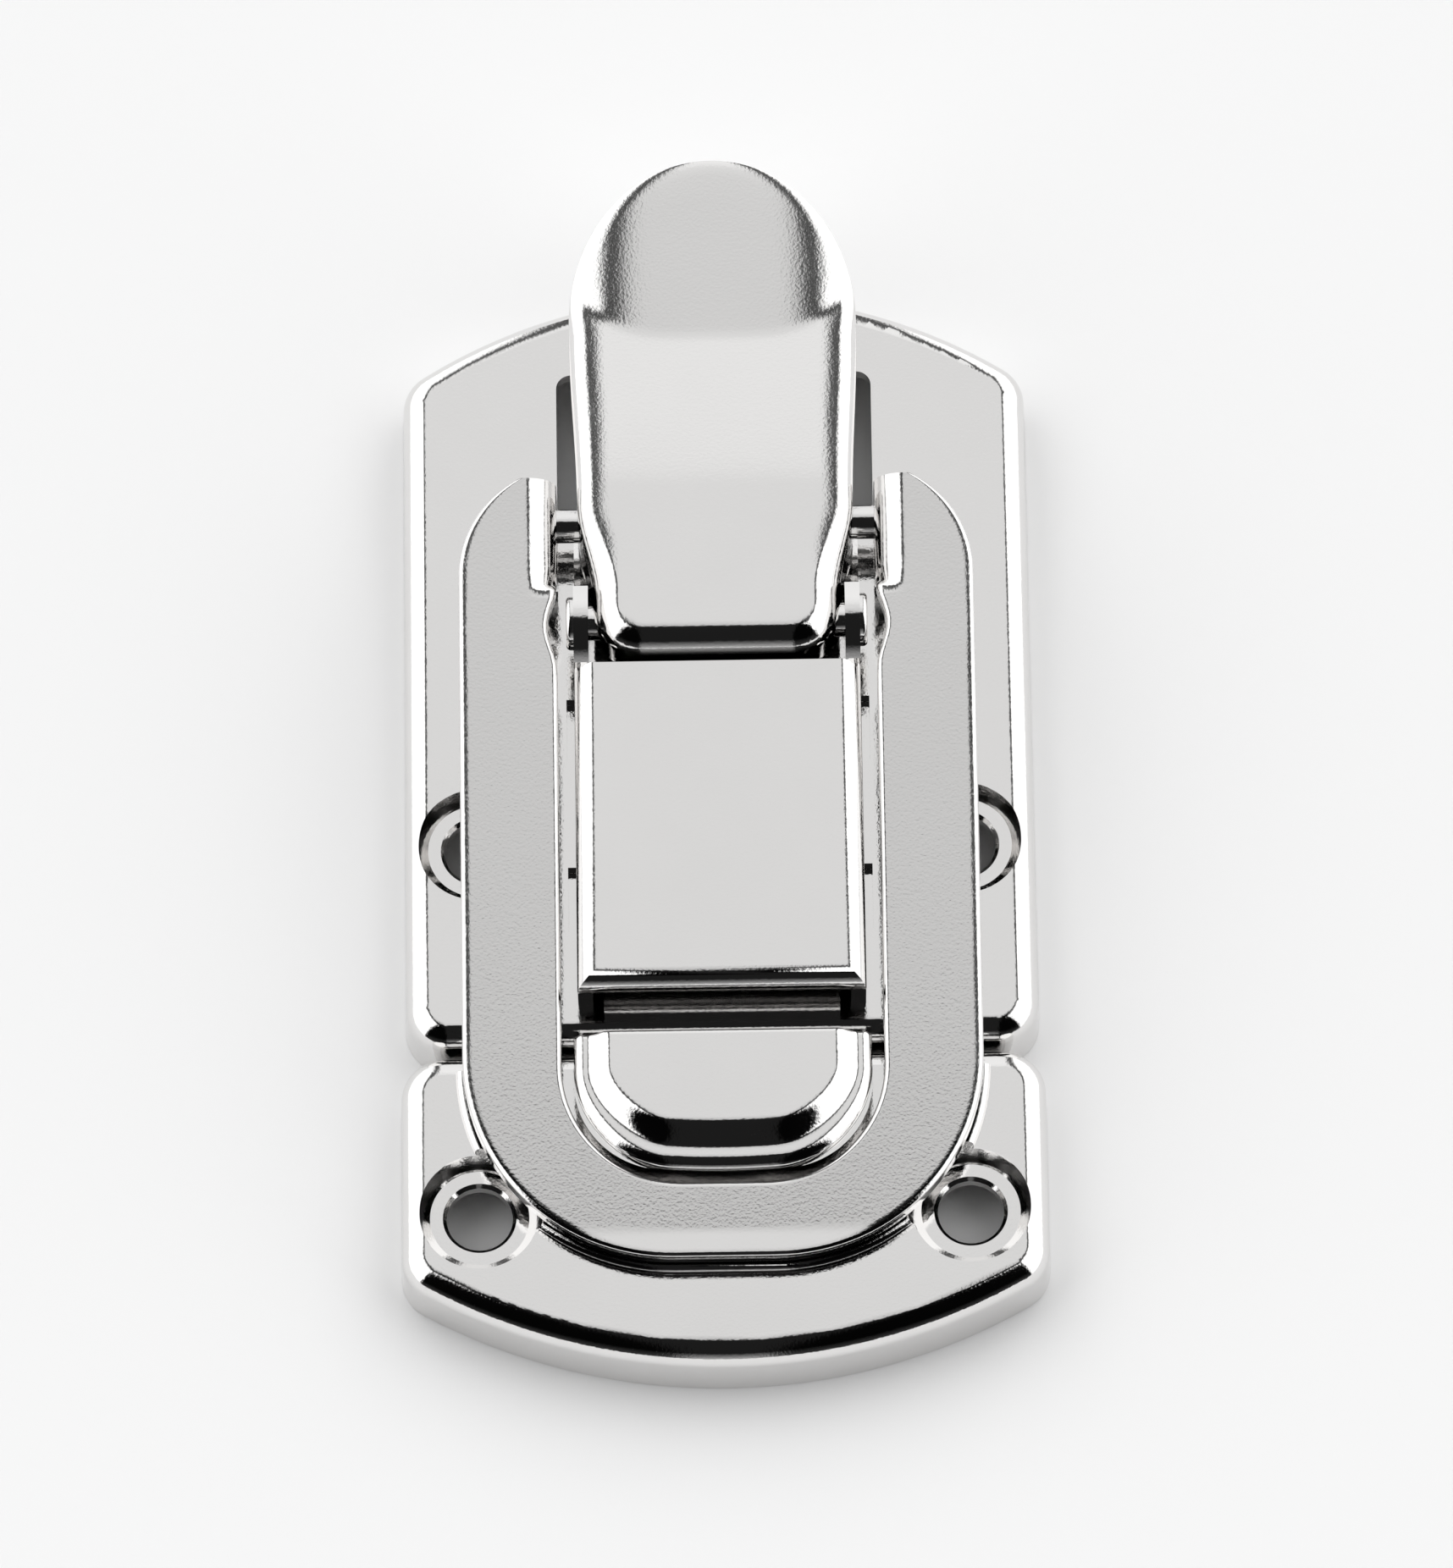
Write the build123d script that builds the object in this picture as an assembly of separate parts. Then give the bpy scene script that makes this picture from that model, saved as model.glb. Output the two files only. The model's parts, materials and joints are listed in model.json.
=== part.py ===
from build123d import *
import os
from math import cos, radians, sin, sqrt

# Over-centre draw latch, closed, in millimetres. +Z leaves the mounting surface at z = 0,
# +Y runs from the strike plate towards the lever's tip, x = 0 is the latch's centre line.
# Everything is drawn from the seam between the two plates; placed() then moves the origin
# to the middle of the latch's length.

# ---------------------------------------------------------------- plates
plate_sheet = 1.0          # sheet of both plates and of the bracket
plate_height = 5.2         # dished depth, mounting surface to flat top
rim_radius = 1.6           # outer radius of the dish's rim
rim_draft = 2.0            # degrees the dish's wall leans in
plate_gap = 0.35           # between the two plates
corner_radius = 3.0        # outline corners

base_width = 42.5
base_length = 55.5
base_arc_radius = 36.0     # bowed far end

strike_width = 43.2
strike_length = 22.25
strike_arc_radius = 40.0   # bowed near end

# ---------------------------------------------------------------- screw holes
hole_spacing = 32.6
hole_radius = 2.2
hole_lip = 0.25
dimple_radius = 4.0        # recess at the plate's top
dimple_floor_radius = 3.3
dimple_depth = 1.2
base_hole_y = 14.5
strike_hole_y = -11.8

# ---------------------------------------------------------------- window under the lever
window_width = 21.4
window_start = 37.4
window_length = 11.5
window_radius = 1.0

# ---------------------------------------------------------------- bracket
bracket_width = 19.2       # outside the two walls
bracket_front = 1.9        # from the seam to the end wall
bracket_top = 11.0
bracket_radius = 1.35      # outer bend radius
bridge_length = 23.3       # end wall to the bridge's far edge
ear_back = 1.9             # pivot axis to the ear's far edge
ear_crown = 0.9            # highest point of the ear, before the pivot axis
ear_corner = 0.5           # drop of the ear's far corner
heel_reach = 6.1           # low tail of the ear along the plate
heel_rise = 1.2
heel_start = 2.2           # far edge of the ear to the top of the tail
heel_end_rise = 0.4
corner_gap = 0.75          # relief between end wall and side walls
tab_length = 4.6
tab_places = (6.2, 18.4)   # from the bracket's front to each tab's start
tab_hook = 1.0             # clinched foot under the plate
slot_clearance = 0.6       # free width outside each tab

# ---------------------------------------------------------------- pivot and loop pins
pivot_y = 28.4
pivot_z = 10.1
pivot_radius = 1.15
pivot_head_radius = 1.8
head_thickness = 0.5
head_rounding = 0.3
link_length = 7.95         # pivot axis to loop-pin axis
link_angle = -10.9         # degrees from +Y, below centre when closed
loop_pin_radius = 1.15
loop_head_radius = 1.55
running_clearance = 0.05   # radial, pin in a turning hole
rivet_clearance = 0.02     # radial, pin in the hole it is riveted in
side_clearance = 0.25      # between parts that turn side by side
ear_margin = 1.35          # metal round the pivot hole

# ---------------------------------------------------------------- lever
lever_sheet = 1.2
lever_rise = 2.5           # pivot axis to the lever's top face
lever_radius = 2.0         # outer roll radius
lever_width = 19.9         # widest, near the tab
lever_shoulder_width = 18.9
lever_nose = 2.9           # pivot axis to the rolled front, which turns inside the bridge's far edge
lever_flange_drop = 6.1    # top face to the flanges' lower edge
nose_depth = 0.3           # rolled front's lower edge below the pivot axis
eye_depth = 2.4            # flange's round end below the pivot axis
eye_length = 2.2           # where the flanges' lower edge levels out
flange_level = 12.0        # where that edge starts to rise
flange_tip_drop = 2.6      # flange left at the tab
joggle_start = 4.0         # from the pivot, where the sides step out
joggle_end = 8.6
tab_start = 20.6           # from the pivot
tab_reach = 32.9           # from the pivot to the tip
tab_rise = 4.5             # degrees the thumb tab turns up
tab_sheet = 1.2
tab_curve_length = 11.4    # tip's elliptical outline, along the lever
tab_step = 0.25            # tab's edges inside the lever's widest sides
tab_root = 0.6             # tab's overlap with the lever's body
tab_seat = 0.3             # tab's root below the lever's top face
tab_rounding = 0.45

# ---------------------------------------------------------------- loop
loop_sheet = 1.4
loop_width = 34.6
loop_opening = 21.4
loop_tilt = 5.0            # degrees, falls towards the strike plate
loop_pin_depth = 3.2       # loop's top face above its pin axis
loop_bend_radius = 2.0     # outer radius of the flanges' bends
loop_end_radius = 8.0      # outer corners at the pin end
loop_outer_corner = 14.0
loop_inner_corner = 8.0
loop_edge_radius = 0.35
flange_corner_margin = 0.3 # flange left square below its rounded corners
crook_relief = 0.1         # inner bend a little tighter than the sheet's own
bar_width = 5.2
loop_reach = 46.9          # pin axis to the bar's inner edge
flange_length = 7.4
flange_overhang = 2.4      # flange past the pin, towards the tip
loop_flange_drop = 2.2     # flange below the pin axis
lip_length = 1.75          # end of the bar, bent back up
lip_bend = 6.0             # degrees
bulge = 0.65               # opening widened beside the pivot heads
bulge_length = 6.2

# ---------------------------------------------------------------- hook and loop seat
seat_rise = 0.5
seat_margin = 0.5          # seat outline outside the loop's outline
hook_top = 9.5
hook_shoulder = 8.75
hook_lip = 7.9             # underside of the overhanging rim
hook_rim_width = 19.8
hook_rim_reach = 9.9       # strike plate's inner edge to the rim's nose
hook_overhang = 0.9
hook_step = 1.5            # rim's side to the raised crown's side
hook_nose_step = 2.4       # the same at the nose
hook_corner = 6.2
hook_bow = 1.0             # how far the nose bows out
hook_rounding = 0.7        # upper edges of the rim and the crown
hook_back_gap = 0.25       # hook's back inside the plate's edge
hook_side_overhang = 0.35
hook_pocket_corner = 4.0   # hollow under the hook
hook_pocket_roof = 0.4
crown_pocket_corner = 3.0
seat_rounding = 0.45

hair = 0.01                # below any real feature, keeps edges from coinciding
half_pattern = hole_spacing / 2
seam_edge = -plate_gap
loop_pin_y = pivot_y + link_length * cos(radians(link_angle))
loop_pin_z = pivot_z + link_length * sin(radians(link_angle))
lever_top = pivot_z + lever_rise
near_end = seam_edge - strike_length
far_end = pivot_y + tab_start + (tab_reach - tab_start) * cos(radians(tab_rise))
middle_y = (near_end + far_end) / 2


def placed(shape):
    return Pos(0, -middle_y, 0) * shape


def prism(face, low, high):
    return extrude(Pos(0, 0, low) * face, high - low, dir=(0, 0, 1))


def bowed_outline(width, length, bow_radius, inset):
    # straight edge at y = 0, straight sides, bowed far end
    half = width / 2 - inset
    radius = bow_radius - inset
    tip = length - inset
    shoulder = tip - (radius - sqrt(radius ** 2 - half ** 2))
    with BuildSketch() as sketch:
        with BuildLine():
            Polyline((-half, shoulder), (-half, inset), (half, inset), (half, shoulder))
            ThreePointArc((half, shoulder), (0, tip), (-half, shoulder))
        make_face()
        fillet(sketch.vertices(), corner_radius - inset)
    return sketch.sketch


def dish_form(width, length, bow_radius, inset):
    outline = bowed_outline(width, length, bow_radius, inset)
    body = extrude(outline, plate_height - inset, taper=rim_draft)
    return fillet(body.faces().sort_by(Axis.Z)[-1].edges(), rim_radius - inset)


def dish(width, length, bow_radius):
    # the outer form, and the same form one sheet smaller that hollows it
    return [dish_form(width, length, bow_radius, inset) for inset in (0, plate_sheet)]


def dimple_tools(y):
    # material under each screw hole, the recess above it and the hole itself
    floor = plate_height - dimple_depth
    mouth_radius = 2 * dimple_radius - dimple_floor_radius
    fill = []
    cut = []
    for side in (-1, 1):
        spot = Pos(side * half_pattern, y, 0)
        fill.append(spot * Pos(0, 0, floor - plate_sheet) * Cylinder(
            dimple_radius + plate_sheet, plate_sheet + dimple_depth / 2,
            align=(Align.CENTER, Align.CENTER, Align.MIN)))
        cut.append(spot * Pos(0, 0, floor) * Cone(
            dimple_floor_radius, mouth_radius, 2 * dimple_depth,
            align=(Align.CENTER, Align.CENTER, Align.MIN)))
        cut.append(spot * Cylinder(hole_radius, 3 * plate_height))
        cut.append(spot * Pos(0, 0, floor - hole_lip) * Cone(
            hole_radius, hole_radius + 2 * hole_lip, 2 * hole_lip,
            align=(Align.CENTER, Align.CENTER, Align.MIN)))
    return fill, cut


def wall_centre():
    return bracket_width / 2 - plate_sheet / 2


def make_base_plate():
    outer, inner = dish(base_width, base_length, base_arc_radius)
    fill, cut = dimple_tools(base_hole_y)
    plate = outer - (inner - fill) - cut
    window = Pos(0, window_start + window_length / 2) * RectangleRounded(
        window_width, window_length, window_radius)
    plate -= prism(window, 0, 2 * plate_height)
    slot_width = plate_sheet + slot_clearance + rivet_clearance
    for start in tab_places:
        for side in (-1, 1):
            middle = bracket_front + start + tab_length / 2
            x = side * (wall_centre() + (slot_clearance - rivet_clearance) / 2)
            slot = Pos(x, middle) * Rectangle(slot_width, tab_length + 2 * rivet_clearance)
            plate -= prism(slot, 0, 2 * plate_height)
    return plate


def ear_profile():
    # side view of one wall, drawn in Y and Z
    back = pivot_y + ear_back
    front = bracket_front + bridge_length
    crest = pivot_z + pivot_radius + ear_margin
    corner = (back, crest - ear_corner)
    foot = back + heel_reach
    shoulder = bracket_top - bracket_radius
    with BuildSketch(Plane.YZ) as sketch:
        with BuildLine():
            Polyline(
                (bracket_front + plate_sheet, plate_height),
                (foot, plate_height),
                (foot, plate_height + heel_end_rise),
                (back + heel_start, plate_height + heel_rise),
                corner,
            )
            ThreePointArc(corner, (pivot_y - ear_crown, crest), (front, bracket_top))
            Polyline(
                (front, bracket_top),
                (front, shoulder),
                (bracket_front + plate_sheet, shoulder),
                (bracket_front + plate_sheet, plate_height),
            )
        make_face()
    return sketch.sketch


def bridge_block(inset, radius):
    # a block rounded along both sides and the front
    box = Pos(0, bracket_front + inset, plate_height) * Box(
        bracket_width - 2 * inset, bridge_length - inset, bracket_top - plate_height - inset,
        align=(Align.CENTER, Align.MIN, Align.MIN))
    top = box.faces().sort_by(Axis.Z)[-1]
    rolled = top.edges().sort_by(Axis.Y)[:-1]
    return fillet(rolled, radius)


def make_bracket():
    half = bracket_width / 2
    bracket = bridge_block(0, bracket_radius) - bridge_block(plate_sheet, bracket_radius - plate_sheet)
    relief_height = 2 * (bracket_top - bracket_radius - plate_height)
    for side in (-1, 1):
        # relief slit at each folded corner
        bracket -= Pos(side * (half - plate_sheet - corner_gap / 2), bracket_front, plate_height) * Box(
            corner_gap, 3 * plate_sheet, relief_height)
        bracket -= Pos(side * half, bracket_front, plate_height) * Box(
            2 * plate_sheet, 2 * plate_sheet, relief_height)
        wall = extrude(ear_profile(), plate_sheet / 2, both=True)
        bracket += Pos(side * wall_centre(), 0, 0) * wall
        for start in tab_places:
            middle = bracket_front + start + tab_length / 2
            tab = Pos(side * wall_centre(), middle, plate_height) * Box(
                plate_sheet, tab_length, plate_sheet + tab_hook,
                align=(Align.CENTER, Align.CENTER, Align.MAX))
            foot = Pos(side * (half + tab_hook), middle, plate_height - plate_sheet) * Box(
                tab_hook + plate_sheet, tab_length, tab_hook,
                align=(Align.MAX if side > 0 else Align.MIN, Align.CENTER, Align.MAX))
            bracket += tab
            bracket += foot
    pivot_hole = Pos(0, pivot_y, pivot_z) * Rot(0, 90, 0) * Cylinder(
        pivot_radius + rivet_clearance, 2 * bracket_width)
    return bracket - pivot_hole


def pin(radius, span, head_radius):
    # shank with a flat rounded head outside each end of the span
    shank = Cylinder(radius, span + head_thickness)
    for end in (-1, 1):
        button = Pos(0, 0, end * (span + head_thickness) / 2) * Cylinder(head_radius, head_thickness)
        face = button.faces().sort_by(Axis.Z)[-1 if end > 0 else 0]
        shank += fillet(face.edges(), head_rounding)
    return Rot(0, 90, 0) * shank


def make_pivot_pin():
    return Pos(0, pivot_y, pivot_z) * pin(pivot_radius, bracket_width, pivot_head_radius)


def lever_outline(inset=0.0, overrun=0.0):
    # half widths of the lever at each place along it, measured from the pivot
    narrow = bracket_width / 2 - plate_sheet - side_clearance - inset
    shoulder = lever_shoulder_width / 2 - inset
    wide = lever_width / 2 - inset
    nose = -lever_nose + inset
    y = pivot_y
    with BuildSketch() as sketch:
        with BuildLine() as line:
            Polyline((0, y + nose), (narrow, y + nose), (narrow, y + joggle_start))
            Spline((narrow, y + joggle_start), (shoulder, y + joggle_end),
                   tangents=((0, 1), (0.02, 1)), tangent_scalars=(1.4, 1.4))
            end = y + tab_start + overrun
            Polyline((shoulder, y + joggle_end), (wide, end), (0, end))
            mirror(line.line, about=Plane.YZ)
        make_face()
    return sketch.sketch


def lever_block(inset, radius, overrun):
    low = lever_top - lever_flange_drop - 1
    body = prism(lever_outline(inset, overrun), low, lever_top - inset)
    top = body.faces().sort_by(Axis.Z)[-1]
    rolled = top.edges().sort_by(Axis.Y)[:-1]
    return fillet(rolled, radius)


def make_lever():
    outer = lever_block(0, lever_radius, 0)
    inner = lever_block(lever_sheet, lever_radius - lever_sheet, lever_sheet)
    # lower edge of the flanges: round under the pivot, level past the loop pin, rising to the tab
    low = lever_top - lever_flange_drop
    high = lever_top + lever_sheet
    front = pivot_y - lever_nose - lever_sheet
    lip = (pivot_y - lever_nose + lever_sheet, pivot_z - nose_depth)
    level = (pivot_y + eye_length, low)
    root = pivot_y + tab_start
    with BuildSketch(Plane.YZ) as keep:
        with BuildLine():
            Polyline((front, high), (front, pivot_z), lip)
            ThreePointArc(lip, (pivot_y, pivot_z - eye_depth), level)
            Polyline(level, (pivot_y + flange_level, low), (root, lever_top - flange_tip_drop),
                     (root, high), (front, high))
        make_face()
    body = (outer - inner) & extrude(keep.sketch, lever_width, both=True)
    # thumb tab: straight root, elliptical tip, turned up a little
    half = lever_width / 2 - tab_step
    curve_start = tab_reach - tab_start - tab_curve_length
    with BuildSketch() as tongue:
        Ellipse(half, tab_curve_length)
        Rectangle(2 * half, tab_curve_length, align=(Align.CENTER, Align.MAX), mode=Mode.SUBTRACT)
        Rectangle(2 * half, curve_start + tab_root, align=(Align.CENTER, Align.MAX))
    sheet = extrude(Pos(0, curve_start) * tongue.sketch, tab_sheet)
    sheet = fillet(sheet.faces().sort_by(Axis.Z)[-1].edges().sort_by(Axis.Y)[1:], tab_rounding)
    seat = Pos(0, root, lever_top - tab_sheet - tab_seat)
    lever = body + seat * Rot(tab_rise, 0, 0) * sheet
    axis_holes = [
        Pos(0, pivot_y, pivot_z) * Rot(0, 90, 0) * Cylinder(pivot_radius + running_clearance, 2 * lever_width),
        Pos(0, loop_pin_y, loop_pin_z) * Rot(0, 90, 0) * Cylinder(
            loop_pin_radius + running_clearance, 2 * lever_width),
    ]
    return lever - axis_holes


def loop_outline(grow=0.0):
    # drawn with the pin axis at y = 0, the bar on the -Y side
    half = loop_width / 2 + grow
    bottom = -loop_reach - bar_width - grow
    shape = Pos(0, bottom) * Rectangle(
        2 * half, flange_overhang - bottom, align=(Align.CENTER, Align.MIN))
    shape = fillet(shape.vertices().group_by(Axis.Y)[0], loop_outer_corner + grow)
    return fillet(shape.vertices().group_by(Axis.Y)[-1], loop_end_radius)


def loop_opening_outline():
    # straight sides, widened by a shallow arc beside each pivot head
    half = loop_opening / 2
    arc_top = -flange_end()
    arc_low = arc_top - bulge_length
    arc_middle = (arc_top + arc_low) / 2
    end = flange_overhang + loop_sheet
    with BuildSketch() as sketch:
        with BuildLine() as line:
            Polyline((0, end), (half, end), (half, arc_top))
            ThreePointArc((half, arc_top), (half + bulge, arc_middle), (half, arc_low))
            Polyline((half, arc_low), (half, -loop_reach), (0, -loop_reach))
            mirror(line.line, about=Plane.YZ)
        make_face()
        fillet(sketch.vertices().group_by(Axis.Y)[0], loop_inner_corner)
        ends = [v for v in sketch.vertices() if min(abs(v.Y - arc_top), abs(v.Y - arc_low)) < hair]
        fillet(ends, bulge_length / 4)
    return sketch.sketch


def flange_end():
    return flange_length - flange_overhang


def loop_flange(side):
    # the arm's inner edge, bent down over the pin: an L-shaped section along Y
    depth = loop_pin_depth + loop_flange_drop
    face = loop_opening / 2
    with BuildSketch(Plane.XZ) as section:
        Rectangle(loop_bend_radius, depth, align=(Align.MIN, Align.MIN))
        corner = section.vertices().group_by(Axis.Y)[-1].sort_by(Axis.X)[0]
        fillet(corner, loop_bend_radius - hair)
        with Locations((loop_sheet, 0)):
            Rectangle(loop_bend_radius, depth - loop_sheet, align=(Align.MIN, Align.MIN),
                      mode=Mode.SUBTRACT)
        crook = section.vertices().sort_by_distance((loop_sheet, depth - loop_sheet))[0]
        fillet(crook, loop_bend_radius - loop_sheet - crook_relief)
    bend = Pos(face, 0, -loop_flange_drop) * extrude(
        section.sketch, 2 * flange_length, both=True)
    if side < 0:
        bend = mirror(bend, about=Plane.YZ)
    with BuildSketch(Plane.YZ) as ear:
        with Locations((-flange_end(), -loop_flange_drop)):
            Rectangle(flange_length, 2 * depth, align=(Align.MIN, Align.MIN))
        fillet(ear.vertices().group_by(Axis.Y)[0], loop_flange_drop - flange_corner_margin)
    return bend & extrude(ear.sketch, loop_width, both=True) & prism(loop_outline(), -depth, depth)


def make_loop():
    half = loop_opening / 2
    flange_middle = (flange_overhang - flange_end()) / 2
    blank = loop_outline() - loop_opening_outline()
    for side in (-1, 1):
        blank -= Pos(side * (half + loop_bend_radius / 2), flange_middle) * Rectangle(
            loop_bend_radius, flange_length)
    plate = prism(blank, 0, loop_sheet)
    # every upper edge is rounded except where the flanges join
    notch = half + loop_bend_radius + hair
    rounded = [edge for edge in plate.faces().sort_by(Axis.Z)[-1].edges()
               if abs(edge.center().X) > notch or edge.center().Y < -flange_end() - hair]
    plate = fillet(rounded, loop_edge_radius)
    # the last stretch of the bar is bent back up
    bend_y = -loop_reach - bar_width + lip_length
    below = Pos(0, bend_y) * Box(2 * loop_width, loop_outer_corner, 4 * loop_sheet,
                                 align=(Align.CENTER, Align.MAX, Align.CENTER))
    lip = Pos(0, bend_y, 0) * Rot(-lip_bend, 0, 0) * Pos(0, -bend_y, 0) * (plate & below)
    plate = Pos(0, 0, loop_pin_depth - loop_sheet) * (plate - below + lip)
    for side in (-1, 1):
        plate += loop_flange(side)
    hole = Rot(0, 90, 0) * Cylinder(loop_pin_radius + rivet_clearance, 2 * loop_width)
    loop = plate - hole
    return Pos(0, loop_pin_y, loop_pin_z) * Rot(loop_tilt, 0, 0) * loop


def make_loop_pin():
    span = loop_opening + 2 * loop_sheet
    return Pos(0, loop_pin_y, loop_pin_z) * pin(loop_pin_radius, span, loop_head_radius)


def hook_outline(half, nose_y, corner):
    # D-shaped plan of the hook, straight along the seam, bowed at the nose
    back = seam_edge - hook_back_gap
    with BuildSketch() as sketch:
        with BuildLine():
            Polyline((-half, nose_y + hook_bow), (-half, back), (half, back), (half, nose_y + hook_bow))
            ThreePointArc((half, nose_y + hook_bow), (0, nose_y), (-half, nose_y + hook_bow))
        make_face()
        fillet(sketch.vertices().sort_by(Axis.Y)[:2], corner)
    return sketch.sketch


def make_seat():
    # raised seat under the loop's end, sunk half a sheet into the plate
    face = Pos(0, loop_pin_y) * loop_outline(seat_margin)
    window = Pos(0, seam_edge - rim_radius) * Rectangle(
        2 * strike_width, strike_length, align=(Align.CENTER, Align.MAX))
    seat = prism(face & window, plate_height - plate_sheet / 2, plate_height + seat_rise)
    return fillet(seat.faces().sort_by(Axis.Z)[-1].edges().sort_by(Axis.Y)[:-1], seat_rounding)


def make_hook():
    # neck, overhanging rim and raised crown, and the hollow pressed up into them
    nose = seam_edge - hook_rim_reach
    half = hook_rim_width / 2
    neck_half = half - hook_side_overhang
    neck_nose = nose + hook_overhang
    crown_half = half - hook_step
    crown_nose = nose + hook_nose_step
    neck = prism(hook_outline(neck_half, neck_nose, hook_corner - hook_side_overhang),
                 plate_height - plate_sheet / 2, hook_lip + hair)
    rim = prism(hook_outline(half, nose, hook_corner), hook_lip, hook_shoulder)
    crown = prism(hook_outline(crown_half, crown_nose, hook_corner - hook_step), hook_lip, hook_top)
    solid = neck
    for step in (rim, crown):
        solid += fillet(step.faces().sort_by(Axis.Z)[-1].edges(), hook_rounding)
    low_pocket = prism(
        hook_outline(neck_half - plate_sheet, neck_nose + plate_sheet, hook_pocket_corner),
        plate_height - 2 * plate_sheet, hook_lip - hook_pocket_roof)
    high_pocket = prism(
        hook_outline(crown_half - plate_sheet, crown_nose + plate_sheet, crown_pocket_corner),
        plate_height, hook_top - plate_sheet)
    walled = Pos(0, seam_edge - hook_back_gap - plate_sheet) * Rectangle(
        2 * strike_width, strike_length, align=(Align.CENTER, Align.MAX))
    return solid, (low_pocket + high_pocket) & prism(walled, 0, 2 * hook_top)


def make_strike_plate():
    turned = Pos(0, seam_edge) * Rot(0, 0, 180)
    outer, inner = [turned * form for form in dish(strike_width, strike_length, strike_arc_radius)]
    fill, cut = dimple_tools(strike_hole_y)
    hook, hollow = make_hook()
    return outer + make_seat() + hook - (inner - fill) - hollow - cut


parts = {
    "base_plate": make_base_plate,
    "bracket": make_bracket,
    "pivot_pin": make_pivot_pin,
    "lever": make_lever,
    "loop": make_loop,
    "loop_pin": make_loop_pin,
    "strike_plate": make_strike_plate,
}

os.makedirs("parts", exist_ok=True)
for name, make in parts.items():
    export_step(placed(make()), f"parts/{name}.step")
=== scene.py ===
import json
import math

import bmesh
import bpy
from mathutils import Matrix, Vector


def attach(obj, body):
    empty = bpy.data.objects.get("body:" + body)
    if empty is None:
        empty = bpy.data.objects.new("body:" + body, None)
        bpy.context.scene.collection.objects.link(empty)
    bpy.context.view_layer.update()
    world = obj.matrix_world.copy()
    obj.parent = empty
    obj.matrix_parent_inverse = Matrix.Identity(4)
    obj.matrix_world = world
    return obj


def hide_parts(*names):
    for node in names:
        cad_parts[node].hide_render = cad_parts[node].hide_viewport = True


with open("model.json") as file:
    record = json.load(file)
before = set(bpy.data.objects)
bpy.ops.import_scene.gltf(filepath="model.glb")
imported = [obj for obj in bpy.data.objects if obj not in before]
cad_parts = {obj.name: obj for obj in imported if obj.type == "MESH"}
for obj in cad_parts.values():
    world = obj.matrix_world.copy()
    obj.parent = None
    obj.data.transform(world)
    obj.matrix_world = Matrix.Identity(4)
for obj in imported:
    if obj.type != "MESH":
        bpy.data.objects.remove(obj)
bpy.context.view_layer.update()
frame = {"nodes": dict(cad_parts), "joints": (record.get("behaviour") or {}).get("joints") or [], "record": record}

mm = 0.001
print("frame loaded")


def linearColour(hexCode):
    # sRGB hex to the linear colour that the shader wants
    channels = []
    for start in (0, 2, 4):
        value = int(hexCode[start:start + 2], 16) / 255
        channels.append(value / 12.92 if value <= 0.04045 else ((value + 0.055) / 1.055) ** 2.4)
    return (*channels, 1.0)


def addNode(tree, kind, inputs=None, **settings):
    # one node with its settings, its input values and its links
    node = tree.nodes.new(kind)
    for name, value in settings.items():
        setattr(node, name, value)
    for socket, source in (inputs or {}).items():
        if isinstance(source, bpy.types.NodeSocket):
            tree.links.new(source, node.inputs[socket])
        else:
            node.inputs[socket].default_value = source
    return node


def setRamp(node, stops):
    # each stop is a place from 0 to 1 and a grey level
    ramp = node.color_ramp
    while len(ramp.elements) > 1:
        ramp.elements.remove(ramp.elements[-1])
    for index, (place, level) in enumerate(stops):
        stop = ramp.elements[0] if index == 0 else ramp.elements.new(place)
        stop.position = place
        stop.color = (level, level, level, 1.0)


studio = {
    "aim": (0.0005, 0.00145, 0.0),
    "elevation": 67.5,
    "distance": 0.86,
    "lens": 292.0,
    "roll": -0.85,
    "floor": "f3f3f3",
    "floorSize": 6.0,
    "softbox": 1.4,
    "dome": 1.0,
    "floorLight": 0.86,
    "lampSpread": 100,
    "lampTilt": -20,
    "floorDrop": 0.02,
    "boxEdge": (0.19, 0.25),
    "gapEdge": (0.08, 0.13),
    "gapShade": 0.1,
    # from level behind the object, over the top, to level in front of it
    "ceiling": ((0.0, 1.0), (0.25, 1.05), (0.33, 0.98), (0.36, 0.86), (0.39, 0.84), (0.41, 0.78),
                (0.445, 0.66), (0.458, 0.05), (0.475, 0.014), (0.84, 0.014), (0.93, 0.22), (1.0, 0.45)),
}

# the angle in degrees from which each piece's edges are sharp
sharp = {"plates": 32, "lever": 40, "hook": 45, "loop": 50}

# camera: a long lens, high up in front of the strike plate
aim = Vector(studio["aim"])
rise = math.radians(studio["elevation"])
back = Vector((0.0, -math.cos(rise), math.sin(rise)))
camera = bpy.data.objects.new("camera", bpy.data.cameras.new("camera"))
camera.data.lens = studio["lens"]
camera.data.clip_start = 0.01
camera.location = aim + back * studio["distance"]
turn = (-back).to_track_quat("-Z", "Y").to_matrix() @ Matrix.Rotation(math.radians(studio["roll"]), 3, "Z")
camera.rotation_euler = turn.to_euler()
bpy.context.scene.collection.objects.link(camera)
bpy.context.scene.camera = camera
bpy.context.scene.view_settings.view_transform = "Standard"

# dome: a pale ceiling behind, a softbox on each side, a dark room above the camera
world = bpy.data.worlds.new("studio")
bpy.context.scene.world = world
world.use_nodes = True
tree = world.node_tree
tree.nodes.clear()
place = addNode(tree, "ShaderNodeTexCoord")
axes = addNode(tree, "ShaderNodeSeparateXYZ", {0: place.outputs["Generated"]})
overhead = addNode(tree, "ShaderNodeMath", {0: axes.outputs[2], 1: axes.outputs[1]}, operation="ARCTAN2")
share = addNode(tree, "ShaderNodeMath", {0: overhead.outputs[0], 1: math.pi}, operation="DIVIDE")
middle = addNode(tree, "ShaderNodeValToRGB", {0: share.outputs[0]})
setRamp(middle, studio["ceiling"])
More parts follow.
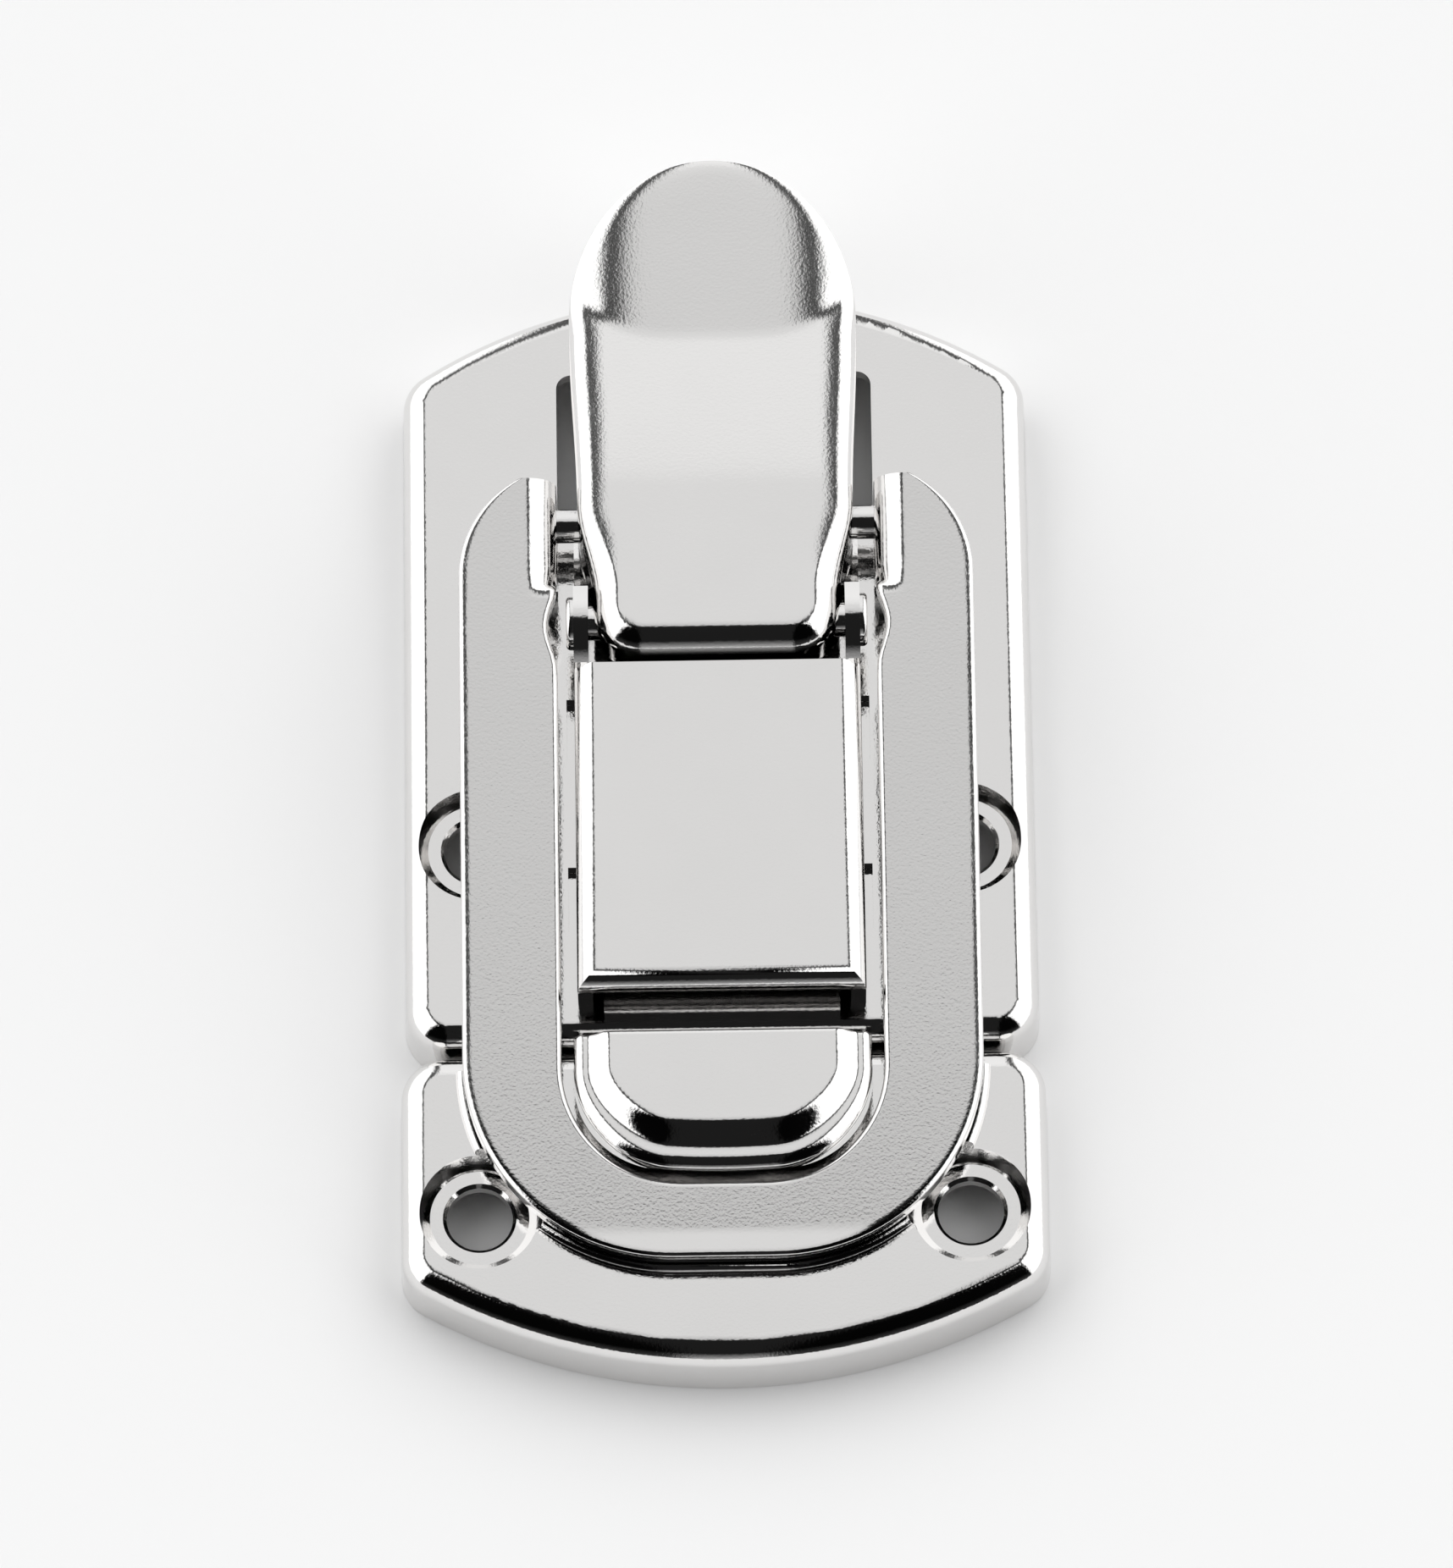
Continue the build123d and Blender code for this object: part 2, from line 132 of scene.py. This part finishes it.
# one softbox on each side, narrower towards the front
boxStart, boxFull = studio["boxEdge"]
gapStart, gapFull = studio["gapEdge"]
aside = addNode(tree, "ShaderNodeMath", {0: axes.outputs[0]}, operation="ABSOLUTE")
forward = addNode(tree, "ShaderNodeMath", {0: axes.outputs[1], 1: -1.0}, operation="MULTIPLY")
reach = addNode(tree, "ShaderNodeMath", {0: forward.outputs[0], 1: 0.0}, operation="MAXIMUM")
edge = addNode(tree, "ShaderNodeMath", {0: aside.outputs[0], 1: reach.outputs[0]}, operation="SUBTRACT")
boxes = addNode(tree, "ShaderNodeMapRange", {0: edge.outputs[0], 1: boxStart, 2: boxFull,
                                             3: 0.0, 4: studio["softbox"]})
gap = addNode(tree, "ShaderNodeMapRange", {0: aside.outputs[0], 1: gapStart, 2: gapFull,
                                           3: 1.0, 4: studio["gapShade"]})
ceiling = addNode(tree, "ShaderNodeMath", {0: middle.outputs[0], 1: gap.outputs[0]}, operation="MULTIPLY")
both = addNode(tree, "ShaderNodeMath", {0: ceiling.outputs[0], 1: boxes.outputs[0]}, operation="MAXIMUM")
sky = addNode(tree, "ShaderNodeBackground", {0: both.outputs[0], 1: studio["dome"]})
addNode(tree, "ShaderNodeOutputWorld", {0: sky.outputs[0]})

# a broad soft light for the floor alone
lamp = bpy.data.objects.new("floorLight", bpy.data.lights.new("floorLight", "SUN"))
lamp.data.energy = studio["floorLight"]
lamp.data.angle = math.radians(studio["lampSpread"])
lamp.rotation_euler = (math.radians(studio["lampTilt"]), 0, 0)
lamp.visible_glossy = False
bpy.context.scene.collection.objects.link(lamp)

# pale paper floor
floorMaterial = bpy.data.materials.new("matte_white_paper")
floorMaterial.use_nodes = True
tree = floorMaterial.node_tree
paper = tree.nodes["Principled BSDF"]
paper.inputs["Base Color"].default_value = linearColour(studio["floor"])
paper.inputs["Roughness"].default_value = 0.9
paper.inputs["Specular IOR Level"].default_value = 0.1
shape = bmesh.new()
bmesh.ops.create_grid(shape, x_segments=1, y_segments=1, size=studio["floorSize"] / 2)
bmesh.ops.translate(shape, vec=(0, 0, -studio["floorDrop"] * mm), verts=shape.verts)
floorMesh = bpy.data.meshes.new("floor")
shape.to_mesh(floorMesh)
shape.free()
floorMesh.materials.append(floorMaterial)
floor = bpy.data.objects.new("floor", floorMesh)
bpy.context.scene.collection.objects.link(floor)
print("camera, studio and floor made")


def makeNickel(name, tint, roughness):
    # bright nickel plate: a neutral silver mirror, softened by a fine orange peel and faint smudges
    material = bpy.data.materials.new(name)
    material.use_nodes = True
    tree = material.node_tree
    metal = tree.nodes["Principled BSDF"]
    metal.inputs["Metallic"].default_value = 1.0
    place = addNode(tree, "ShaderNodeTexCoord").outputs["Object"]
    smudge = addNode(tree, "ShaderNodeTexNoise", {"Vector": place, "Scale": 220.0, "Detail": 4.0})
    shade = addNode(tree, "ShaderNodeMapRange", {0: smudge.outputs[0], 1: 0.35, 2: 0.7, 3: roughness,
                                                 4: roughness + 0.03})
    tree.links.new(shade.outputs[0], metal.inputs["Roughness"])
    tone = addNode(tree, "ShaderNodeMix", {0: smudge.outputs[0], 6: linearColour(tint[0]),
                                           7: linearColour(tint[1])}, data_type="RGBA")
    tree.links.new(tone.outputs[2], metal.inputs["Base Color"])
    peel = addNode(tree, "ShaderNodeTexNoise", {"Vector": place, "Scale": 5200.0, "Detail": 3.0})
    bump = addNode(tree, "ShaderNodeBump", {"Height": peel.outputs[0], "Strength": 0.6, "Distance": 0.00001})
    tree.links.new(bump.outputs[0], metal.inputs["Normal"])
    return material


sheetNickel = makeNickel("bright_nickel_pressed_sheet", ("e5e4e3", "e9e8e7"), 0.045)
rivetNickel = makeNickel("bright_nickel_rivet", ("e1e0df", "e7e6e5"), 0.07)


def asPiece(shape, name, material):
    # a finished bmesh as an object at the origin
    mesh = bpy.data.meshes.new(name)
    shape.to_mesh(mesh)
    shape.free()
    mesh.materials.append(material)
    piece = bpy.data.objects.new(name, mesh)
    bpy.context.scene.collection.objects.link(piece)
    return piece


def shadeSmooth(shape, angle):
    # smooth shading that breaks at true edges
    for face in shape.faces:
        face.smooth = True
    for edge in shape.edges:
        edge.smooth = edge.is_manifold and edge.calc_face_angle(0) < math.radians(angle)


def keepFlats(piece):
    # the flats stay flat where they meet a rounding
    weighted = piece.modifiers.new("flats", "WEIGHTED_NORMAL")
    weighted.keep_sharp = True
    weighted.weight = 100


def mergedCopy(node):
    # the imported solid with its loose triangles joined
    shape = bmesh.new()
    shape.from_mesh(frame["nodes"][node].data)
    bmesh.ops.remove_doubles(shape, verts=shape.verts, dist=0.001 * mm)
    bmesh.ops.dissolve_limit(shape, angle_limit=math.radians(0.4), verts=shape.verts, edges=shape.edges)
    return shape


def between(value, stops):
    # eased value between pairs of place and level
    if value <= stops[0][0]:
        return stops[0][1]
    for (start, low), (end, high) in zip(stops, stops[1:]):
        if value <= end:
            share = (value - start) / (end - start)
            return low + (high - low) * share * share * (3 - 2 * share)
    return stops[-1][1]


def roundedCorner(p, q):
    # a unit square's place moved onto a quarter disc
    return p * math.sqrt(1 - q * q / 2), q * math.sqrt(1 - p * p / 2)


def addSheet(piece, thickness):
    # the sheet's thickness, laid inside the outer face
    wall = piece.modifiers.new("sheet", "SOLIDIFY")
    wall.thickness = thickness * mm
    wall.offset = -1


# the lever's sizes in millimetres, measured from its pivot axis
lever = {
    "halfWidth": ((1.5, 8.3), (8.0, 9.28), (20.5, 9.72)),
    "nose": 2.9,
    "noseCorner": 3.4,
    "tightRoll": ((1.5, 1.7), (8.0, 1.0)),
    "gentleRoll": ((1.5, 0.35), (6.0, 1.4), (16.0, 1.75)),
    "gentleRadius": 16.0,
    "top": 2.5,
    "slopeStart": 9.0,
    "slope": 3.2,
    "crease": 20.2,
    "tabRise": 4.5,
    "tabArch": 0.000063,
    "tabStart": 21.5,
    "tabLength": 11.35,
    "edgeFade": ((20.0, 1.0), (24.5, 0.12)),
    "creaseBlend": 0.03,
    "slopeEase": 2.0,
    "creaseLead": 1.7,
    "join": 0.002,
    "edgeDrop": 0.9,
    "skirtRings": 3,
    "sheet": 1.2,
    "skirt": ((-2.9, 0.9), (-1.6, 0.9), (0.0, 3.0), (2.2, 3.6), (12.0, 3.6), (20.5, 0.9), (23.0, 0.0)),
}
pivot = next(joint for joint in frame["joints"] if joint["name"] == "lever_pivot")["pos_m"]


def makeLever():
    size = lever
    tight, gentle = 10, 7
    roll = tight + gentle
    flat = 14
    columns = 2 * (roll + flat)
    rowsNose, rowsBody, rowsTab = 14, 70, 44
    corner = size["noseCorner"]
    rows = rowsNose + rowsBody + rowsTab
    shape = bmesh.new()
    bmesh.ops.create_grid(shape, x_segments=columns, y_segments=rows, size=1.0)
    places = {}
    for vert in shape.verts:
        column = round((vert.co.x + 1) / 2 * columns)
        row = round((vert.co.y + 1) / 2 * rows)
        side = -1 if column < columns / 2 else 1
        step = abs(column - columns // 2)
        inRow = max(0, row - rowsNose - rowsBody) / rowsTab
        y = corner - size["nose"] + (max(0, row - rowsNose) / rowsBody) * (
            size["tabStart"] + size["nose"] - corner)
        y = min(y, size["tabStart"])
        half = between(y, size["halfWidth"])
        tightWidth = between(y, size["tightRoll"])
        gentleWidth = between(y, size["gentleRoll"])
        rolled = tightWidth + gentleWidth
        # across: flat middle, gentle bend, tight roll
        if step <= flat:
            x = (half - rolled) * step / flat
        elif step <= flat + gentle:
            x = half - rolled + gentleWidth * (step - flat) / gentle
        else:
            x = half - tightWidth + tightWidth * math.sin(math.pi / 2 * (step - flat - gentle) / tight)
        if row < rowsNose:
            q = math.sin(math.pi / 2 * (rowsNose - row) / rowsNose)
            p = max(0.0, (x - half + corner) / corner)
            p, q = roundedCorner(p, q)
            x = x if p == 0 else half - corner + corner * p
            y = corner * (1 - q) - size["nose"]
        elif inRow > 0:
            x *= math.cos(math.pi / 2 * inRow)
            y = size["tabStart"] + size["tabLength"] * math.sin(math.pi / 2 * inRow)
        places[vert] = (side * x, y)
    fall = math.tan(math.radians(size["slope"]))
    rise = math.tan(math.radians(size["tabRise"]))
    edge = [places[v] for v in shape.verts if v.is_boundary]
    for vert in shape.verts:
        x, y = places[vert]
        near = math.sqrt(min((x - a) ** 2 + (y - b) ** 2 for a, b in edge))
        if y > size["tabStart"]:
            past = y - size["tabStart"]
            reach = math.hypot(x / between(y, size["halfWidth"]), past / size["tabLength"])
            near = (1 - reach) * math.hypot(x, past) / max(reach, 0.001)
        if vert.is_boundary:
            near = 0.0
        tightWidth = between(y, size["tightRoll"])
        gentleWidth = between(y, size["gentleRoll"])
        drop = max(0.0, tightWidth + gentleWidth - near) ** 2 / (2 * size["gentleRadius"])
        if near < tightWidth:
            drop += tightWidth - math.sqrt(tightWidth ** 2 - (tightWidth - near) ** 2)
        past = max(0.0, y - size["slopeStart"])
        body = size["top"] - fall * past * past / (past + size["slopeEase"])
        level = size["top"] - fall * (size["crease"] - size["slopeStart"] - size["creaseLead"])
        tab = level + (y - size["crease"]) * rise - size["tabArch"] * x ** 4
        top = (body + tab + math.hypot(body - tab, size["creaseBlend"])) / 2
        z = top - drop * between(y, size["edgeFade"])
        vert.co = (x, y, z)
    bmesh.ops.remove_doubles(shape, verts=shape.verts, dist=size["join"])
    # flanges: the border drawn down to the lower edge
    border = [edge for edge in shape.edges if edge.is_boundary]
    for _ in range(size["skirtRings"]):
        drawn = bmesh.ops.extrude_edge_only(shape, edges=border)["geom"]
        lower = [item for item in drawn if isinstance(item, bmesh.types.BMVert)]
        border = [item for item in drawn if isinstance(item, bmesh.types.BMEdge) and item.is_boundary]
        for vert in lower:
            height = size["sheet"] * size["edgeDrop"] + between(vert.co.y, size["skirt"])
            vert.co.z -= height / size["skirtRings"]
    bmesh.ops.recalc_face_normals(shape, faces=shape.faces)
    bmesh.ops.scale(shape, vec=(mm, mm, mm), verts=shape.verts)
    bmesh.ops.translate(shape, vec=pivot, verts=shape.verts)
    shadeSmooth(shape, sharp["lever"])
    piece = asPiece(shape, "lever_pressing", sheetNickel)
    addSheet(piece, size["sheet"])
    return piece


# the loop's sizes in millimetres, measured from its pin axis
loop = {
    "halfWidth": 17.3,
    "halfOpening": 10.7,
    "reach": 46.9,
    "bar": 5.2,
    "overhang": 2.4,
    "endRadius": 7.8,
    "tipWidth": 0.5,
    "outerCorner": 14.0,
    "innerCorner": 8.0,
    "bulge": 0.65,
    "bulgeStart": -5.0,
    "bulgeLength": 6.2,
    "top": 3.2,
    "bend": 2.0,
    "drop": 3.4,
    "flangeStart": -5.5,
    "flangeEnd": -3.8,
    "lip": 1.75,
    "lipBend": 6.0,
    "tilt": 5.0,
    "sheet": 1.4,
    "edge": 0.3,
}
loopPin = next(joint for joint in frame["joints"] if joint["name"] == "loop_swing")["pos_m"]


def makeLoop():
    size = loop
    rim, wall, curl, flat = 4, 4, 9, 10
    columns = rim + wall + curl + flat + rim
    tip, arm, corner, bar = 22, 60, 30, 6
    rows = tip + arm + corner + bar
    outside, inside = size["halfWidth"], size["halfOpening"]
    low = -size["reach"] - size["bar"]
    outerTurn = low + size["outerCorner"]
    innerTurn = -size["reach"] + size["innerCorner"]
    tipAngle = math.acos(1 - (outside - inside - size["bend"] - size["tipWidth"]) / size["endRadius"])
    shoulder = size["overhang"] - size["endRadius"] * math.sin(tipAngle)
    shape = bmesh.new()
    bmesh.ops.create_grid(shape, x_segments=columns, y_segments=rows, size=1.0)
    drawn = bmesh.ops.extrude_face_region(shape, geom=shape.faces[:])["geom"]
    bmesh.ops.translate(shape, vec=(0, 0, -1), verts=[v for v in drawn if isinstance(v, bmesh.types.BMVert)])
    bmesh.ops.recalc_face_normals(shape, faces=shape.faces)
    for vert in shape.verts:
        column = round((vert.co.x + 1) / 2 * columns)
        row = round((vert.co.y + 1) / 2 * rows)
        depth = size["sheet"] if vert.co.z < -0.5 else 0.0
        # matching places on the opening and on the outline, from the arm's tip to the middle of the bar
        if row <= tip:
            angle = tipAngle * (1 - row / tip)
            outer = (outside - size["endRadius"] * (1 - math.cos(angle)),
                     shoulder + size["endRadius"] * math.sin(angle))
            tipY = shoulder + size["endRadius"] * math.sin(tipAngle)
            inner = (inside, tipY + (shoulder - tipY) * row / tip)
        elif row <= tip + arm:
            share = (row - tip) / arm
            outer = (outside, shoulder + (outerTurn - shoulder) * share)
            inner = (inside, shoulder + (innerTurn - shoulder) * share)
        elif row <= tip + arm + corner:
            angle = math.pi / 2 * (row - tip - arm) / corner
            outer = (outside - size["outerCorner"] * (1 - math.cos(angle)),
                     outerTurn - size["outerCorner"] * math.sin(angle))
            inner = (inside - size["innerCorner"] * (1 - math.cos(angle)),
                     innerTurn - size["innerCorner"] * math.sin(angle))
        else:
            share = 1 - (row - tip - arm - corner) / bar
            outer = ((outside - size["outerCorner"]) * share, low)
            inner = ((inside - size["innerCorner"]) * share, -size["reach"])
        along = (size["bulgeStart"] - inner[1]) / size["bulgeLength"]
        if 0 < along < 1:
            inner = (inner[0] + size["bulge"] * math.sin(math.pi * along) ** 2, inner[1])
        width = math.hypot(outer[0] - inner[0], outer[1] - inner[1])
        # across: rounded edge, flange's wall and its bend, flat, rounded edge
        edge = size["edge"]
        z = -depth
        if column <= rim:
            angle = math.pi / 2 * (1 - column / rim)
        else:
            angle = math.pi / 2 * max(0, column - columns + rim) / rim
        rounded = edge * (1 - math.sin(angle))
        if depth == 0:
            z = -edge * (1 - math.cos(angle))
        if column <= rim:
            place = rounded
        elif column <= rim + wall + curl:
            place = edge + (size["bend"] - edge) * (column - rim) / (wall + curl)
        elif column <= columns - rim:
            place = size["bend"] + (width - edge - size["bend"]) * (column - rim - wall - curl) / flat
        else:
            place = width - rounded
        x = inner[0] + (outer[0] - inner[0]) * place / width
        y = inner[1] + (outer[1] - inner[1]) * place / width
        bent = between(y, ((size["flangeStart"], 0.0), (size["flangeEnd"], 1.0)))
        if column < rim + wall:
            bentX = inside + depth
            bentZ = -size["bend"] - size["drop"] * (1 - column / (rim + wall))
        else:
            angle = math.pi / 2 * max(0.0, 1 - (column - rim - wall) / curl)
            bentX = inside + size["bend"] - (size["bend"] - depth) * math.sin(angle)
            bentZ = (size["bend"] - depth) * math.cos(angle) - size["bend"]
        if column < rim + wall + curl:
            x += (bentX - x) * bent
            z += (bentZ - z) * bent
        fold = low + size["lip"]
        if y < fold:
            z += math.tan(math.radians(size["lipBend"])) * (fold - y)
        vert.co = (x, y, z + size["top"])
    # the right half is mirrored and joined at the middle of the bar
    seam = [face for face in shape.faces if all(abs(v.co.x) < 0.001 for v in face.verts)]
    bmesh.ops.delete(shape, geom=seam, context="FACES_ONLY")
    bmesh.ops.mirror(shape, geom=shape.verts[:] + shape.edges[:] + shape.faces[:], axis="X", merge_dist=0.001)
    bmesh.ops.recalc_face_normals(shape, faces=shape.faces)
    turn = Matrix.Rotation(math.radians(size["tilt"]), 3, "X")
    bmesh.ops.rotate(shape, cent=(0, 0, 0), matrix=turn, verts=shape.verts)
    bmesh.ops.scale(shape, vec=(mm, mm, mm), verts=shape.verts)
    bmesh.ops.translate(shape, vec=loopPin, verts=shape.verts)
    shadeSmooth(shape, sharp["loop"])
    piece = asPiece(shape, "loop_stamping", sheetNickel)
    keepFlats(piece)
    return piece


# the hook's upper shell in millimetres, y measured from the latch's origin
hook = {
    "cut": 8.0,
    "halfWidth": 9.9,
    "corner": 6.2,
    "bow": 1.0,
    "backRound": 0.35,
    "sideBand": 2.3,
    "noseBand": 3.2,
    "rimShare": 0.27,
    "shoulderShare": 0.42,
    "rim": 8.75,
    "crown": 9.5,
    "noseRows": 0.6,
    "bandNose": 2.0,
    "bandSide": 7.0,
    "overlap": 0.02,
}


def makeHook(plate):
    # the crown and the rolled rim, set on the plate's own neck
    size = hook
    back = min(v.co.y for v in plate.verts if v.co.z > size["cut"] * mm) / mm
    far = max(v.co.y for v in plate.verts if v.co.z > size["cut"] * mm) / mm
    corner, noseRows = size["corner"], size["noseRows"]
    columns, rows = 96, 60
    shape = bmesh.new()
    bmesh.ops.create_grid(shape, x_segments=columns, y_segments=rows, size=1.0)
    for vert in shape.verts:
        u, v = vert.co.x, (vert.co.y + 1) / 2
        half = size["halfWidth"]
        x = half * math.sin(math.pi / 2 * abs(u))
        start = back + size["bow"] + corner
        # rows bunch towards the nose, where the corners are rounded
        y = start + (far - start) * max(0.0, (v - noseRows) / (1 - noseRows))
        if v < noseRows:
            q = math.sin(math.pi / 2 * (noseRows - v) / noseRows)
            p = max(0.0, (x - half + corner) / corner)
            p, q = roundedCorner(p, q)
            x = x if p == 0 else half - corner + corner * p
            y = start - corner * q - size["bow"] * q * (1 - (x / half) ** 2)
        vert.co = (x if u > 0 else -x, y, 0)
    rim = [v.co.copy() for v in shape.verts if v.is_boundary and v.co.y < far - 0.01]
    for vert in shape.verts:
        near = min((vert.co - point).length for point in rim)
        band = between(vert.co.y, ((back + size["bandNose"], size["noseBand"]),
                                  (back + size["bandSide"], size["sideBand"])))
        share = near / band
        height = size["rim"] - size["cut"]
        if share < size["rimShare"]:
            z = size["cut"] + height * math.sqrt(max(0.0, 1 - (1 - share / size["rimShare"]) ** 2))
        else:
            z = between(share, ((size["shoulderShare"], size["rim"]), (1.0, size["crown"])))
        behind = max(0.0, size["backRound"] - (far - vert.co.y))
        z -= size["backRound"] - math.sqrt(max(0.0, size["backRound"] ** 2 - behind ** 2))
        vert.co.z = z
    drawn = bmesh.ops.extrude_edge_only(shape, edges=[e for e in shape.edges if e.is_boundary])["geom"]
    for item in drawn:
        if isinstance(item, bmesh.types.BMVert):
            item.co.z = size["cut"] - size["overlap"]
    bmesh.ops.recalc_face_normals(shape, faces=shape.faces)
    if sum(face.normal.z for face in shape.faces) < 0:
        bmesh.ops.reverse_faces(shape, faces=shape.faces)
    bmesh.ops.scale(shape, vec=(mm, mm, mm), verts=shape.verts)
    shadeSmooth(shape, sharp["hook"])
    return asPiece(shape, "hook_crown", sheetNickel)


def makeStrike():
    # the dished plate below the hook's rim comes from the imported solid
    shape = mergedCopy("strike_plate")
    crown = makeHook(shape)
    bmesh.ops.bisect_plane(shape, geom=shape.verts[:] + shape.edges[:] + shape.faces[:],
                           plane_co=(0, 0, hook["cut"] * mm), plane_no=(0, 0, 1), clear_outer=True)
    shadeSmooth(shape, sharp["plates"])
    piece = asPiece(shape, "strike_plate_skin", sheetNickel)
    keepFlats(piece)
    return piece, crown


bodyOf = {node: body for body, nodes in frame["record"]["behaviour"]["bodies"].items() for node in nodes}
strikePlate, hookCrown = makeStrike()
made = {"lever": makeLever(), "loop": makeLoop(), "strike_plate": strikePlate}
for node in sorted(frame["nodes"]):
    isRivet = node.endswith("pin")
    if node in made:
        piece = made[node]
    else:
        shape = mergedCopy(node)
        shadeSmooth(shape, sharp["plates"])
        piece = asPiece(shape, node + "_skin", rivetNickel if isRivet else sheetNickel)
        keepFlats(piece)
    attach(piece, bodyOf[node])
    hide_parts(node)
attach(hookCrown, "plates")
print("pieces made")
